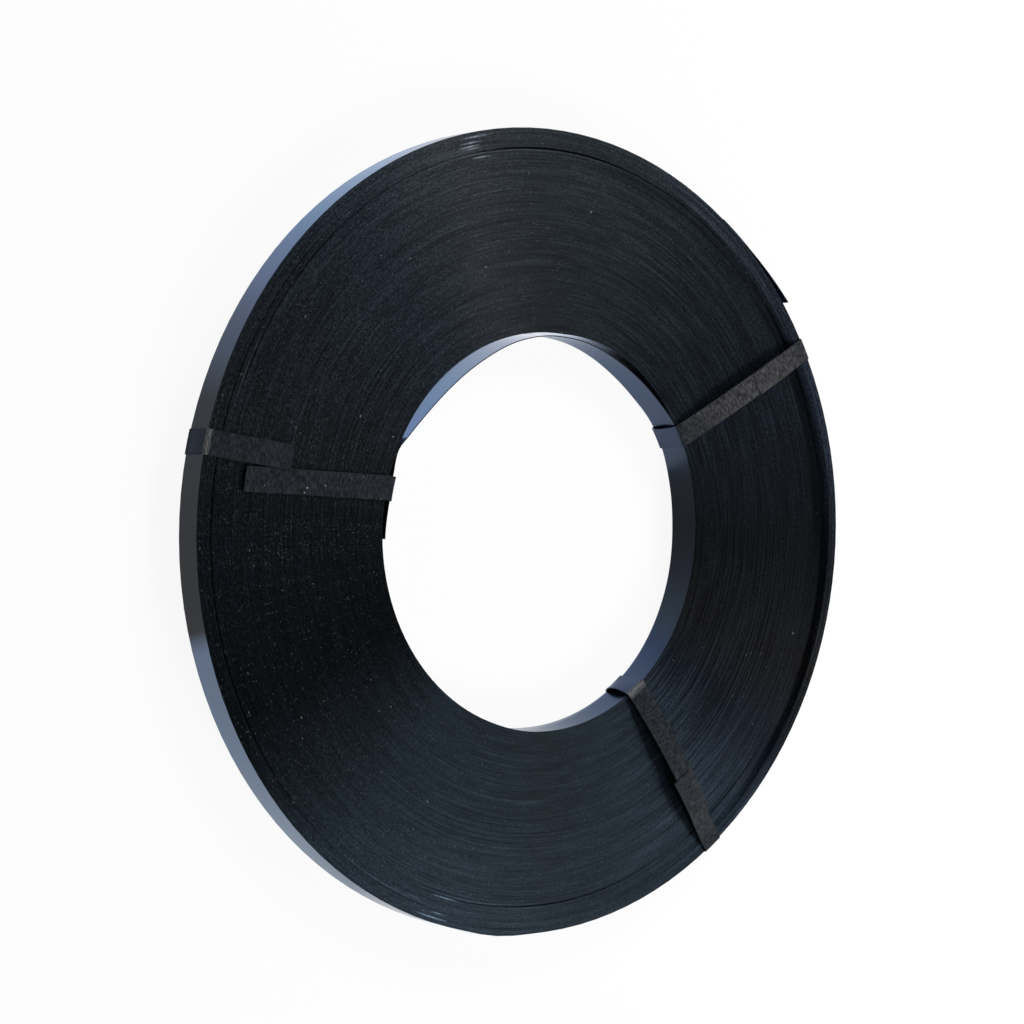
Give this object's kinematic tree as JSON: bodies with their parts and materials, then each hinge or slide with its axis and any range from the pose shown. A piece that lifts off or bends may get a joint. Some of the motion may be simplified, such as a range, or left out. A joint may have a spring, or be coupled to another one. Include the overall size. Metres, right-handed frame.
{
  "type": "steel strapping coil",
  "caption": "Ribbon-wound coil of blued steel strapping with a round bore, its loose strip ends showing, bound by lapped black plastic straps.",
  "frame": {"origin": "on the axis of the bore, in the plane that the undersides of the straps rest on", "axes": "+Z up along the axis of the bore, +X to the right and +Y up as the picture shows the end of the coil that is now uppermost"},
  "size_m": [0.404, 0.404, 0.0183],
  "materials": {
    "blued_steel": "satin",
    "strap_plastic": "satin"
  },
  "bodies": {
    "root": {"coil": "blued_steel", "strap_left": "strap_plastic", "strap_upper_right": "strap_plastic", "strap_lower_right": "strap_plastic"}
  },
  "joints": []
}
